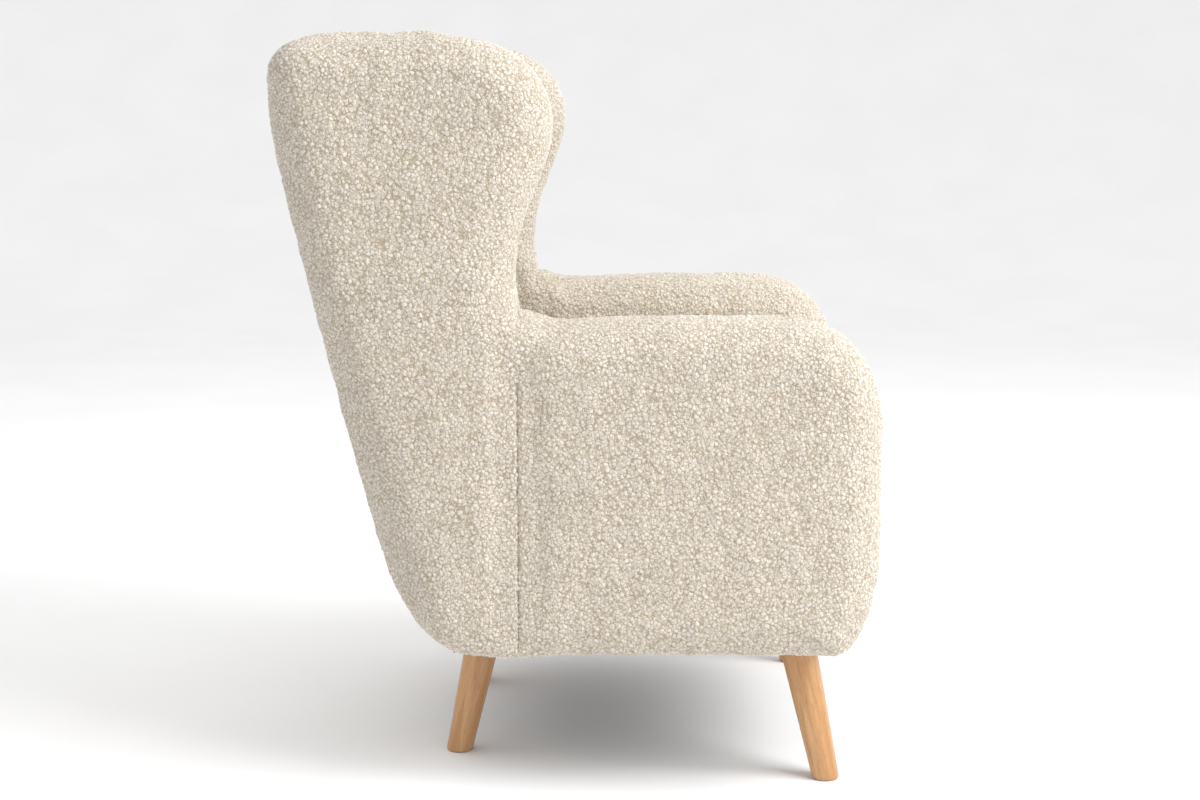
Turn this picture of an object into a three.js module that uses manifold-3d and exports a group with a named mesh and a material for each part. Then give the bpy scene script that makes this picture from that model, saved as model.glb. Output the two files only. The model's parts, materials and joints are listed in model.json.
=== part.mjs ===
// Wing armchair: a timber frame with a sprung seat, stuffed arms, wings and back, a loose seat
// cushion and four splayed legs. Millimetres, +Z up, the front towards -Y, and the origin on the
// floor under the middle of the overall box. "Right" is the sitter's right, towards -X.

import * as THREE from 'three';
import { mergeVertices } from 'three/addons/utils/BufferGeometryUtils.js';
import Module from 'manifold-3d';

const wasm = await Module();
wasm.setup();

// Overall sizes
const WIDTH = 750;
const DEPTH = 805;
const HEIGHT = 1000;
const UNDERSIDE = 183;            // floor to the underside of the upholstery

// Arms
const ARM_CREST = 638;            // floor to the highest line of the arms
const ARM_THICKNESS = 120;        // of the arms and of the wings, which are flush inside
const ARM_ROLL = 30;              // radius of the arms' stuffed edges
const ARM_NOSE_LENGTH = 85;       // front of the arm to where its top starts to fall
const ARM_NOSE_HEIGHT = 148;      // crest to where the front turns upright
const ARM_CHIN_HEIGHT = 147;      // underside to where the lower front turns upright
const ARM_CHIN_LENGTH = 62;       // front of the arm to where its underside starts
const ARM_TOP_PAD = 47;           // stuffing over the arm rail
const ARM_INNER_PAD = 33;         // stuffing on the inside of the arm
const ARM_FRAME_SETBACK = 80;     // front of the arm to the arm post
const ARM_FALL = 13;              // crest down to the arm's top at the seam
const ARM_NOSE_FALL = 10;         // crest down to where the nose starts
const ARM_NOSE_ROUND = 40;        // how strongly the nose turns down
const ARM_CHIN_TUCK = 17;         // front of the arm to the chin's middle
const ARM_CHIN_LOW = 45;          // underside to the chin's middle

// Wings and back
const WING_ROLL = 32;             // radius of the wings' stuffed edges
const SEAM_FROM_REAR = 324;       // overall rear to the seam between arm and wing
const WING_REACH = 49;            // how far the wing's tip stands in front of the seam
const WING_TIP_DROP = 115;        // overall top to the wing's tip
const WING_WAIST_RISE = 52;       // arm crest to the wing's waist
const WING_BROW = 95;             // seam to where the wing's top starts to fall
const WING_BROW_ROUND = 50;       // how strongly its brow and its cheek are rounded
const WING_THROAT_ROUND = 90;     // how strongly it curves in above the waist
const WING_LAP = 60;              // how far its side view runs on in front of the seam
const BACK_DEPTH = 145;           // outside back to inside back, level
const BACK_SKIN = 22;             // outside back panel and rear of the wings
const STRAP_CLEARANCE = 2.7;      // webbing straps to the inside back pad
const HIP_RISE = 128;             // underside to where the back starts its rake
const HIP_SETBACK = 140;          // how far forward of the overall rear it starts
const RAKE_CURVE = 1.3;           // 1 is a straight rake, more bows it backwards
const TOP_CORNER = 45;            // radius of the upper rear corner
const TOP_FALL = 8;               // fall of the top from its crown to that corner
const BASE_SETBACK = 272;         // overall rear to where the underside starts
const BASE_ROUND = 82;            // how far the underside runs level before it turns up
const BASE_TURN = 56;             // how strongly the lower rear turns upright
const OPENING_LAP = 10;           // rear leg rail to the edge of the opening round the frame
const SIDE_WALL = 30;             // stuffed wall on the outside of arms and wings

// Timber
const RAIL_THICKNESS = 30;
const FRAME_LIFT = 5;             // underside of the upholstery to the underside of the frame
const FRONT_WALL = 62;            // front of the arms to the front rail
const REAR_RAIL_THICKNESS = 28;
const REAR_RAIL_FROM_REAR = 232;
const LEG_RAIL_WIDTH = 64;
const LEG_RAIL_HEIGHT = 33;
const LEG_RAIL_FROM_REAR = 310;
const BLOCK_SIZE = 75;
const BLOCK_HEIGHT = 40;
const POST_DEPTH = 38;
const ARM_POST_WIDTH = 45;
const ARM_RAIL_HEIGHT = 30;
const PLY_THICKNESS = 18;
const PLY_INSET = 35;             // wing outline to the edge of its plywood
const TOP_RAIL_HEIGHT = 59;
const TOP_PAD = 50;               // stuffing over the top rail
const LUMBAR_RAIL_HEIGHT = 50;
const LUMBAR_RAIL_FROM_DECK = 85;
const POST_CLEARANCE = 1;         // back posts to the outside back
const PLY_FOOT_LENGTH = 80;       // how much of the wing's plywood stands on the side rail
const PAD_LAP = 6;                // how far the arms' stuffing stays clear above the deck's underside
const PAD_FOOT = 4;               // how far the inside back pad runs down behind the deck

// Seat
const DECK_RISE = 135;            // underside to the top of the deck
const DECK_THICKNESS = 22;
const BORDER_SETBACK = 8;         // front of the arms to the front border
const CUSHION_THICKNESS = 122;
const CUSHION_CROWN = 12;
const CUSHION_ROLL = 24;
const CUSHION_NOSE = 40;          // how far its rounded front edges reach
const CUSHION_NOSE_ROUND = 28;    // how strongly they are rounded
const CUSHION_SETBACK = 14;
const CUSHION_CLEARANCE = 3.5;    // cushion to arms and back
const SPRING_COUNT = 5;
const SPRING_SPACING = 96;
const SPRING_WIRE = 3.8;
const SPRING_HALF_WIDTH = 22;
const SPRING_WAVES = 8;
const SPRING_ARCH = 10;
const SPRING_CLEARANCE = 1.9;     // highest spring to the deck
const STRAP_COUNT = 4;
const STRAP_WIDTH = 50;
const STRAP_THICKNESS = 2;
const ZIP_SETBACK = 51.5;         // side of the cushion to the end of the zip
const ZIP_WIDTH = 12;
const ZIP_THICKNESS = 1.5;

// Legs
const LEG_TOP_DIAMETER = 50;
const LEG_FOOT_DIAMETER = 36;
const FRONT_BOLT_FROM_BLOCK_SIDE = 44;
const FRONT_BOLT_FROM_BLOCK_FRONT = 15;
const REAR_BOLT_FROM_SIDE = 218;
const REAR_BOLT_FROM_RAIL_FRONT = 39.5;
const LEG_SPLAY = 0.216;          // fore-and-aft lean, mm per mm of height
const FRONT_LEG_SIDE_SPLAY = 0.14;
const REAR_LEG_SIDE_SPLAY = 0.11;
const PLATE_SIZE = 56;
const PLATE_THICKNESS = 2.5;
const BOLT_DIAMETER = 8;
const BOLT_IN_LEG = 32;
const BOLT_IN_FRAME = 26;
const BOLT_CLEARANCE = 2;         // end of a bolt to the end of its hole
const LEG_SPARE = 20;             // how far a leg's cone runs on before it is cut level
const DUST_COVER_THICKNESS = 1.5;

const GAP = 0.3;                  // between pieces that touch
const FAR = 2000;                 // beyond every piece, for cutting solids

// Places worked out from the sizes
const FRONT = -DEPTH / 2;
const REAR = DEPTH / 2;
const SIDE = WIDTH / 2;
const SEAM = REAR - SEAM_FROM_REAR;
const ARM_INNER = SIDE - ARM_THICKNESS;
const WALL_INNER = SIDE - SIDE_WALL;
const RAIL_OUTER = WALL_INNER - GAP;
const RAIL_INNER = RAIL_OUTER - RAIL_THICKNESS;
const POST_OUTER = RAIL_INNER - GAP;
const POST_INNER = POST_OUTER - RAIL_THICKNESS;
const HIP = UNDERSIDE + HIP_RISE;
const RAKE_TOP = HEIGHT - TOP_FALL - TOP_CORNER;
const FRAME_BOTTOM = UNDERSIDE + FRAME_LIFT;
const DECK_TOP = UNDERSIDE + DECK_RISE;
const DECK_BOTTOM = DECK_TOP - DECK_THICKNESS;
const RAIL_TOP = DECK_BOTTOM - SPRING_CLEARANCE - SPRING_ARCH - SPRING_WIRE - GAP;
const FRONT_RAIL_FACE = FRONT + FRONT_WALL + GAP;
const ARM_RAIL_TOP = ARM_CREST - ARM_TOP_PAD - GAP;
const ARM_RAIL_BOTTOM = ARM_RAIL_TOP - ARM_RAIL_HEIGHT;
const LEG_RAIL_FRONT = REAR - LEG_RAIL_FROM_REAR;
const OPENING_REAR = LEG_RAIL_FRONT + LEG_RAIL_WIDTH + OPENING_LAP;
const FRAME_TOP = HEIGHT - TOP_PAD;
const POST_REAR = BACK_SKIN + POST_CLEARANCE;
const POST_FRONT = POST_REAR + POST_DEPTH;
const STRAP_FRONT = POST_FRONT + GAP + STRAP_THICKNESS;
const PAD_REAR = STRAP_FRONT + STRAP_CLEARANCE;
const TOP_RAIL_BOTTOM = FRAME_TOP - GAP - TOP_RAIL_HEIGHT;
const LUMBAR_RAIL_BOTTOM = DECK_TOP + LUMBAR_RAIL_FROM_DECK;
const LUMBAR_RAIL_TOP = LUMBAR_RAIL_BOTTOM + LUMBAR_RAIL_HEIGHT;
const STRAP_PITCH = (TOP_RAIL_BOTTOM - LUMBAR_RAIL_TOP) / (STRAP_COUNT + 1);
const BLOCK_OUTER = RAIL_INNER - GAP;
const BLOCK_FRONT = FRONT_RAIL_FACE + RAIL_THICKNESS + GAP;
const PLY_MIDDLE = (RAIL_INNER + RAIL_OUTER) / 2;
const DUST_COVER_TOP = FRAME_BOTTOM - GAP;
const DUST_COVER_BOTTOM = DUST_COVER_TOP - DUST_COVER_THICKNESS;
const PLATE_TOP = DUST_COVER_BOTTOM - GAP;
const LEG_TOP = PLATE_TOP - PLATE_THICKNESS - GAP;

// Materials
const finish = (color, roughness, metalness = 0) =>
  new THREE.MeshStandardMaterial({ color, roughness, metalness });
const boucle = finish('#e9e1d2', 0.95);
const oak = finish('#c9925a', 0.5);
const pine = finish('#dcbf8e', 0.75);
const plywood = finish('#d2ae78', 0.75);
const jute = finish('#7d6a4f', 0.9);
const steel = finish('#8d9093', 0.4, 0.9);
const blackCloth = finish('#232325', 0.95);
const foam = finish('#e6dcb8', 0.9);
const nylon = finish('#d8d0c0', 0.6);

// Solids and meshes

function toSolid(geometry) {
  geometry.deleteAttribute('normal');
  geometry.deleteAttribute('uv');
  const merged = mergeVertices(geometry, 1e-3);
  return new wasm.Manifold(new wasm.Mesh({
    numProp: 3,
    vertProperties: new Float32Array(merged.attributes.position.array),
    triVerts: new Uint32Array(merged.index.array),
  }));
}

function toMesh(name, solid, material) {
  const data = solid.getMesh();
  const geometry = new THREE.BufferGeometry();
  geometry.setAttribute('position', new THREE.BufferAttribute(data.vertProperties, 3));
  geometry.setIndex(new THREE.BufferAttribute(data.triVerts, 1));
  geometry.computeVertexNormals();
  const mesh = new THREE.Mesh(geometry, material);
  mesh.name = name;
  return mesh;
}

function box(x0, x1, y0, y1, z0, z1) {
  const geometry = new THREE.BoxGeometry(x1 - x0, y1 - y0, z1 - z0);
  geometry.translate((x0 + x1) / 2, (y0 + y1) / 2, (z0 + z1) / 2);
  return toSolid(geometry);
}

// A side view (Y across, Z up) carried across the chair from x0 to x1. A roll rounds the edges of
// both ends without changing the outline between them.
function acrossX(shape, x0, x1, roll = 0) {
  const geometry = new THREE.ExtrudeGeometry(shape, {
    depth: x1 - x0 - 2 * roll,
    steps: 1,
    curveSegments: 6,
    bevelEnabled: roll > 0,
    bevelThickness: roll,
    bevelSize: roll,
    bevelOffset: -roll,
    bevelSegments: 3,
  });
  geometry.applyMatrix4(new THREE.Matrix4().set(
    0, 0, 1, x0 + roll,
    1, 0, 0, 0,
    0, 1, 0, 0,
    0, 0, 0, 1,
  ));
  return toSolid(geometry);
}

// A tapered rod from one point to another
function rod(from, to, radiusFrom, radiusTo, sides) {
  const along = new THREE.Vector3().subVectors(to, from);
  const geometry = new THREE.CylinderGeometry(radiusTo, radiusFrom, along.length(), sides);
  geometry.applyQuaternion(new THREE.Quaternion().setFromUnitVectors(
    new THREE.Vector3(0, 1, 0),
    along.clone().normalize(),
  ));
  const middle = new THREE.Vector3().addVectors(from, to).multiplyScalar(0.5);
  geometry.translate(middle.x, middle.y, middle.z);
  return toSolid(geometry);
}

const mirrored = (solid) => solid.mirror([1, 0, 0]);

// Side views of the upholstery

// How far back the outside of the back is at a height: a raked curve from the hip to the top
function rearAt(z) {
  const share = Math.max(RAKE_TOP - z, 0) / (RAKE_TOP - HIP);
  return REAR - HIP_SETBACK * share ** RAKE_CURVE;
}

// The rear outline from the underside up to the upper corner, as points
function rearPoints() {
  const base = new THREE.CubicBezierCurve(
    new THREE.Vector2(REAR - BASE_SETBACK, UNDERSIDE),
    new THREE.Vector2(REAR - BASE_SETBACK + BASE_ROUND, UNDERSIDE),
    new THREE.Vector2(rearAt(HIP - BASE_TURN), HIP - BASE_TURN),
    new THREE.Vector2(rearAt(HIP), HIP),
  );
  const points = base.getPoints(6);
  const steps = 7;
  for (let i = 1; i <= steps; i += 1) {
    const z = HIP + (RAKE_TOP - HIP) * i / steps;
    points.push(new THREE.Vector2(rearAt(z), z));
  }
  return points;
}

// The wing with the side of the back, down to the underside. Below the arm's crest it runs on in
// front of the seam, where it is cut off.
function wingShape() {
  const tip = SEAM - WING_REACH;
  const tipHeight = HEIGHT - WING_TIP_DROP;
  const waist = ARM_CREST + WING_WAIST_RISE;
  const lapTop = ARM_CREST - 2 * WING_LAP / 3;
  const shape = new THREE.Shape([
    new THREE.Vector2(SEAM - WING_LAP, lapTop),
    new THREE.Vector2(SEAM - WING_LAP, UNDERSIDE),
    ...rearPoints(),
  ]);
  shape.absarc(REAR - TOP_CORNER, RAKE_TOP, TOP_CORNER, 0, Math.PI / 2);
  const brow = SEAM + WING_BROW;
  shape.quadraticCurveTo((REAR - TOP_CORNER + brow) / 2, HEIGHT, brow, HEIGHT);
  shape.bezierCurveTo(
    tip + WING_BROW_ROUND + GAP, HEIGHT,
    tip, HEIGHT - WING_BROW_ROUND,
    tip, tipHeight,
  );
  shape.bezierCurveTo(
    tip, tipHeight - WING_BROW_ROUND,
    SEAM, waist + WING_THROAT_ROUND,
    SEAM, waist,
  );
  shape.lineTo(SEAM, lapTop);
  return shape;
}

// The arm. It runs on behind the seam, where it is cut off.
function armShape() {
  const nose = FRONT + ARM_NOSE_LENGTH;
  const along = (share) => THREE.MathUtils.lerp(SEAM, nose, share);
  const shape = new THREE.Shape();
  shape.moveTo(SEAM + BACK_DEPTH, UNDERSIDE);
  shape.lineTo(SEAM + BACK_DEPTH, ARM_CREST - ARM_FALL);
  shape.lineTo(SEAM, ARM_CREST - ARM_FALL);
  shape.quadraticCurveTo(along(0.3), ARM_CREST, along(0.6), ARM_CREST);
  shape.quadraticCurveTo(along(0.85), ARM_CREST, nose, ARM_CREST - ARM_NOSE_FALL);
  shape.bezierCurveTo(
    nose - ARM_NOSE_ROUND, ARM_CREST - 2 * ARM_NOSE_FALL,
    FRONT, ARM_CREST - ARM_NOSE_HEIGHT + 2 * ARM_NOSE_ROUND,
    FRONT, ARM_CREST - ARM_NOSE_HEIGHT,
  );
  shape.lineTo(FRONT, UNDERSIDE + ARM_CHIN_HEIGHT);
  shape.quadraticCurveTo(
    FRONT, UNDERSIDE + 2 * ARM_CHIN_LOW,
    FRONT + ARM_CHIN_TUCK, UNDERSIDE + ARM_CHIN_LOW,
  );
  shape.quadraticCurveTo(
    FRONT + 2 * ARM_CHIN_TUCK, UNDERSIDE,
    FRONT + ARM_CHIN_LENGTH, UNDERSIDE,
  );
  return shape;
}

// Everything further back than a line that lies a level distance in front of the outside back
function behind(distance) {
  const points = rearPoints().map((point) => new THREE.Vector2(point.x - distance, point.y));
  const first = points[0];
  const last = points[points.length - 1];
  return acrossX(new THREE.Shape([
    new THREE.Vector2(first.x, -FAR),
    ...points,
    new THREE.Vector2(last.x, FAR),
    new THREE.Vector2(FAR, FAR),
    new THREE.Vector2(FAR, -FAR),
  ]), -FAR, FAR);
}

// A curved slice that follows the back between two distances from its outside
const backSlice = (nearDistance, farDistance) =>
  behind(farDistance).subtract(behind(nearDistance));

// A side-view solid drawn in from the front, the rear and the top by the same distance
const drawnIn = (solid, distance) => solid.translate([0, distance, 0])
  .intersect(solid.translate([0, -distance, 0]))
  .intersect(solid.translate([0, 0, -distance]));

// Upholstery

// The way in from below that the frame fills and the dust cover closes
const underside = () => box(-WALL_INNER, WALL_INNER, -FAR, OPENING_REAR, -FAR, RAIL_TOP);

function armPad() {
  const slab = acrossX(armShape(), ARM_INNER, SIDE, ARM_ROLL);
  const behindSeam = box(0, FAR, SEAM - GAP / 2, FAR, -FAR, FAR);
  const frameSpace = box(0, WALL_INNER, FRONT + FRONT_WALL, FAR, 0, DECK_BOTTOM + PAD_LAP);
  const hollow = box(
    ARM_INNER + ARM_INNER_PAD, WALL_INNER,
    FRONT + ARM_FRAME_SETBACK - GAP, SEAM + GAP,
    UNDERSIDE, ARM_CREST - ARM_TOP_PAD,
  );
  return slab.subtract(behindSeam).subtract(frameSpace).subtract(hollow);
}

// The plywood wing frame, standing on the side rail. With a clearance it is the slot for it.
function wingFrame(clearance = 0) {
  const inner = PLY_MIDDLE - PLY_THICKNESS / 2 - clearance;
  const outer = PLY_MIDDLE + PLY_THICKNESS / 2 + clearance;
  const inFrontOfSeam = box(0, FAR, -FAR, SEAM + GAP, 0, ARM_CREST);
  const foot = box(
    inner, outer,
    SEAM + GAP - 3 * clearance, SEAM + PLY_FOOT_LENGTH + clearance,
    RAIL_TOP + GAP, ARM_RAIL_TOP + clearance,
  );
  return drawnIn(acrossX(wingShape(), inner, outer), PLY_INSET - clearance)
    .subtract(inFrontOfSeam)
    .add(foot)
    .intersect(box(0, FAR, -FAR, FAR, RAIL_TOP + GAP, FAR));
}

function wingPad() {
  const slab = acrossX(wingShape(), ARM_INNER, SIDE, WING_ROLL);
  const body = acrossX(wingShape(), -SIDE, SIDE, WING_ROLL);
  const rearBlock = body
    .intersect(behind(BACK_DEPTH))
    .intersect(box(ARM_INNER, FAR, -FAR, FAR, -FAR, FAR));
  const armSpace = box(0, FAR, -FAR, SEAM + GAP / 2, 0, ARM_CREST + GAP);
  const sideSpace = box(
    ARM_INNER + ARM_INNER_PAD, WALL_INNER, SEAM - GAP, FAR, 0, ARM_RAIL_BOTTOM,
  );
  const frameSpace = box(0, WALL_INNER, SEAM - GAP, FAR, 0, DECK_BOTTOM + PAD_LAP);
  const inside = sideSpace.add(frameSpace).subtract(behind(BACK_SKIN));
  const backSpace = backSlice(BACK_SKIN, PAD_REAR)
    .intersect(box(0, WALL_INNER, -FAR, FAR, 0, FRAME_TOP));
  return slab
    .add(rearBlock)
    .subtract(armSpace)
    .subtract(inside)
    .subtract(underside())
    .subtract(backSpace)
    .subtract(wingFrame(GAP));
}

function backBody() {
  const half = ARM_INNER - GAP;
  return acrossX(wingShape(), -SIDE, SIDE, WING_ROLL)
    .intersect(box(-half, half, -FAR, FAR, -FAR, FAR));
}

function outsideBack() {
  return backBody().intersect(behind(BACK_SKIN)).subtract(underside());
}

function insideBackPad() {
  const frameSpace = behind(PAD_REAR)
    .intersect(box(-FAR, FAR, -FAR, FAR, 0, FRAME_TOP + GAP));
  return backBody()
    .intersect(backSlice(BACK_SKIN + GAP, BACK_DEPTH))
    .intersect(box(-FAR, FAR, -FAR, FAR, DECK_BOTTOM - PAD_FOOT, FAR))
    .subtract(frameSpace);
}

function frontBorder() {
  const half = ARM_INNER - GAP;
  return acrossX(armShape(), -half, half)
    .translate([0, BORDER_SETBACK, 0])
    .intersect(box(-half, half, -FAR, FRONT + FRONT_WALL, 0, DECK_TOP));
}

function deckPad() {
  const half = ARM_INNER - GAP;
  return box(-half, half, FRONT + FRONT_WALL + GAP, FAR, DECK_BOTTOM, DECK_TOP)
    .subtract(behind(BACK_DEPTH + GAP));
}

function seatCushion() {
  const half = ARM_INNER - CUSHION_CLEARANCE;
  const front = FRONT + CUSHION_SETBACK;
  const bottom = DECK_TOP + GAP;
  const top = bottom + CUSHION_THICKNESS;
  const rear = rearAt(top) - BACK_DEPTH;
  const shape = new THREE.Shape();
  const round = CUSHION_NOSE - CUSHION_NOSE_ROUND;
  shape.moveTo(rear, bottom);
  shape.lineTo(rear, top);
  shape.quadraticCurveTo((front + rear) / 2, top + 2 * CUSHION_CROWN, front + CUSHION_NOSE, top);
  shape.bezierCurveTo(front + round, top, front, top - round, front, top - CUSHION_NOSE);
  shape.lineTo(front, bottom + CUSHION_NOSE);
  shape.bezierCurveTo(
    front, bottom + round,
    front + round, bottom,
    front + CUSHION_NOSE, bottom,
  );
  return acrossX(shape, -half, half, CUSHION_ROLL)
    .subtract(behind(BACK_DEPTH + CUSHION_CLEARANCE + ZIP_THICKNESS));
}

function cushionZip() {
  const half = ARM_INNER - CUSHION_CLEARANCE - ZIP_SETBACK;
  const middle = DECK_TOP + CUSHION_THICKNESS / 2;
  const near = BACK_DEPTH + CUSHION_CLEARANCE - GAP;
  return backSlice(near, near + ZIP_THICKNESS).intersect(box(
    -half, half, -FAR, FAR,
    middle - ZIP_WIDTH / 2, middle + ZIP_WIDTH / 2,
  ));
}

// Timber frame

function frontRail() {
  const half = RAIL_INNER - GAP;
  const rear = FRONT_RAIL_FACE + RAIL_THICKNESS;
  return box(-half, half, FRONT_RAIL_FACE, rear, FRAME_BOTTOM, RAIL_TOP);
}

function sideRail() {
  return box(RAIL_INNER, RAIL_OUTER, FRONT_RAIL_FACE, FAR, FRAME_BOTTOM, RAIL_TOP)
    .subtract(behind(BACK_SKIN + GAP));
}

function rearRail() {
  const half = POST_INNER - GAP;
  const front = REAR - REAR_RAIL_FROM_REAR;
  const bottom = FRAME_BOTTOM + LEG_RAIL_HEIGHT + GAP;
  return box(-half, half, front, front + REAR_RAIL_THICKNESS, bottom, RAIL_TOP)
    .subtract(behind(BACK_SKIN + GAP));
}

function rearLegRail() {
  const half = POST_INNER - GAP;
  return box(
    -half, half,
    LEG_RAIL_FRONT, LEG_RAIL_FRONT + LEG_RAIL_WIDTH,
    FRAME_BOTTOM, FRAME_BOTTOM + LEG_RAIL_HEIGHT,
  ).subtract(behind(BACK_SKIN + GAP));
}

function cornerBlock() {
  return box(
    BLOCK_OUTER - BLOCK_SIZE, BLOCK_OUTER,
    BLOCK_FRONT, BLOCK_FRONT + BLOCK_SIZE,
    FRAME_BOTTOM, FRAME_BOTTOM + BLOCK_HEIGHT,
  );
}

function armPost() {
  const front = FRONT + ARM_FRAME_SETBACK;
  return box(
    RAIL_INNER, RAIL_OUTER, front, front + ARM_POST_WIDTH, RAIL_TOP + GAP, ARM_RAIL_BOTTOM - GAP,
  );
}

function armRail() {
  const front = FRONT + ARM_FRAME_SETBACK;
  return box(RAIL_INNER, RAIL_OUTER, front, SEAM, ARM_RAIL_BOTTOM, ARM_RAIL_TOP);
}

function backPost() {
  return backSlice(POST_REAR, POST_FRONT)
    .intersect(box(POST_INNER, POST_OUTER, -FAR, FAR, FRAME_BOTTOM, FRAME_TOP - GAP));
}

function backRail(bottom, height) {
  const half = POST_INNER - GAP;
  return backSlice(POST_REAR, POST_FRONT)
    .intersect(box(-half, half, -FAR, FAR, bottom, bottom + height));
}

function backStrap(middle) {
  return backSlice(POST_FRONT + GAP, STRAP_FRONT).intersect(box(
    -POST_OUTER, POST_OUTER, -FAR, FAR, middle - STRAP_WIDTH / 2, middle + STRAP_WIDTH / 2,
  ));
}

// A zigzag spring from the front rail to the rear rail, arched a little in the middle
class SpringPath extends THREE.Curve {
  constructor(x) {
    super();
    this.x = x;
    this.front = FRONT_RAIL_FACE + RAIL_THICKNESS / 2;
    this.rear = REAR - REAR_RAIL_FROM_REAR + REAR_RAIL_THICKNESS / 2;
  }

  getPoint(t, target = new THREE.Vector3()) {
    return target.set(
      this.x + SPRING_HALF_WIDTH * Math.sin(2 * Math.PI * SPRING_WAVES * t),
      this.front + (this.rear - this.front) * t,
      RAIL_TOP + GAP + SPRING_WIRE / 2 + SPRING_ARCH * Math.sin(Math.PI * t),
    );
  }
}

function seatSpring(x) {
  const section = new THREE.Shape();
  section.absarc(0, 0, SPRING_WIRE / 2, 0, 2 * Math.PI);
  return toSolid(new THREE.ExtrudeGeometry(section, {
    steps: SPRING_WAVES * 6,
    curveSegments: 6,
    extrudePath: new SpringPath(x),
  }));
}

// Legs: an axis through the bolt's place in the frame that leans out and away with depth

function legAxis(x, y, sideSplay, splay) {
  return (z) => new THREE.Vector3(
    x + sideSplay * (FRAME_BOTTOM - z),
    y + splay * (FRAME_BOTTOM - z),
    z,
  );
}

const FRONT_LEG = legAxis(
  BLOCK_OUTER - FRONT_BOLT_FROM_BLOCK_SIDE,
  BLOCK_FRONT + FRONT_BOLT_FROM_BLOCK_FRONT,
  FRONT_LEG_SIDE_SPLAY,
  -LEG_SPLAY,
);
const REAR_LEG = legAxis(
  SIDE - REAR_BOLT_FROM_SIDE,
  LEG_RAIL_FRONT + REAR_BOLT_FROM_RAIL_FRONT,
  REAR_LEG_SIDE_SPLAY,
  LEG_SPLAY,
);

function bolt(axis) {
  const radius = BOLT_DIAMETER / 2;
  return rod(axis(LEG_TOP - BOLT_IN_LEG), axis(FRAME_BOTTOM + BOLT_IN_FRAME), radius, radius, 12);
}

// The hole that a leg's bolt runs in, a little wider and longer than the bolt
function boltHole(axis) {
  const radius = BOLT_DIAMETER / 2 + GAP;
  return rod(
    axis(LEG_TOP - BOLT_IN_LEG - BOLT_CLEARANCE),
    axis(FRAME_BOTTOM + BOLT_IN_FRAME + BOLT_CLEARANCE),
    radius, radius, 12,
  );
}

function boredPair(solid, axis) {
  const hole = boltHole(axis);
  return solid.subtract(hole).subtract(mirrored(hole));
}

function leg(axis) {
  const grow = LEG_SPARE * (LEG_TOP_DIAMETER - LEG_FOOT_DIAMETER) / 2 / LEG_TOP;
  return rod(
    axis(-LEG_SPARE), axis(LEG_TOP + LEG_SPARE),
    LEG_FOOT_DIAMETER / 2 - grow, LEG_TOP_DIAMETER / 2 + grow, 32,
  )
    .intersect(box(-FAR, FAR, -FAR, FAR, 0, LEG_TOP))
    .subtract(boltHole(axis));
}

function legPlate(axis) {
  const middle = axis(PLATE_TOP);
  const half = PLATE_SIZE / 2;
  return box(
    middle.x - half, middle.x + half, middle.y - half, middle.y + half,
    PLATE_TOP - PLATE_THICKNESS, PLATE_TOP,
  ).subtract(boltHole(axis));
}

function dustCover() {
  const sheet = box(
    -RAIL_OUTER, RAIL_OUTER, FRONT_RAIL_FACE, OPENING_REAR - GAP, DUST_COVER_BOTTOM, DUST_COVER_TOP,
  );
  return boredPair(boredPair(sheet, FRONT_LEG), REAR_LEG);
}

// The chair

const chair = new THREE.Group();

const place = (name, solid, material) => chair.add(toMesh(name, solid, material));

const placePair = (name, solid, material) => {
  place(`${name}_left`, solid, material);
  place(`${name}_right`, mirrored(solid), material);
};

placePair('arm_pad', armPad(), boucle);
placePair('wing_pad', wingPad(), boucle);
place('inside_back_pad', insideBackPad(), boucle);
place('outside_back_panel', outsideBack(), boucle);
place('front_border', frontBorder(), boucle);
place('seat_cushion', seatCushion(), boucle);
place('cushion_zip', cushionZip(), nylon);
place('deck_pad', deckPad(), foam);
place('dust_cover', dustCover(), blackCloth);

place('front_rail', frontRail(), pine);
placePair('side_rail', sideRail(), pine);
place('rear_rail', rearRail(), pine);
place('rear_leg_rail', boredPair(rearLegRail(), REAR_LEG), pine);
placePair('corner_block', cornerBlock().subtract(boltHole(FRONT_LEG)), pine);
placePair('arm_post', armPost(), pine);
placePair('arm_rail', armRail(), pine);
placePair('back_post', backPost(), pine);
place('top_rail', backRail(TOP_RAIL_BOTTOM, TOP_RAIL_HEIGHT), pine);
place('lumbar_rail', backRail(LUMBAR_RAIL_BOTTOM, LUMBAR_RAIL_HEIGHT), pine);
placePair('wing_frame', wingFrame(), plywood);

for (let i = 0; i < SPRING_COUNT; i += 1) {
  const x = (i - (SPRING_COUNT - 1) / 2) * SPRING_SPACING;
  place(`seat_spring_${i + 1}`, seatSpring(x), steel);
}

for (let i = 1; i <= STRAP_COUNT; i += 1) {
  place(`back_strap_${i}`, backStrap(LUMBAR_RAIL_TOP + i * STRAP_PITCH), jute);
}

for (const [end, axis] of [['front', FRONT_LEG], ['rear', REAR_LEG]]) {
  placePair(`${end}_leg`, leg(axis), oak);
  placePair(`${end}_leg_plate`, legPlate(axis), steel);
  placePair(`${end}_leg_bolt`, bolt(axis), steel);
}

export default chair;
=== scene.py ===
"""Builds the looks of a wing armchair in looped fabric round its packed frame."""

import json
import math

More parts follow.
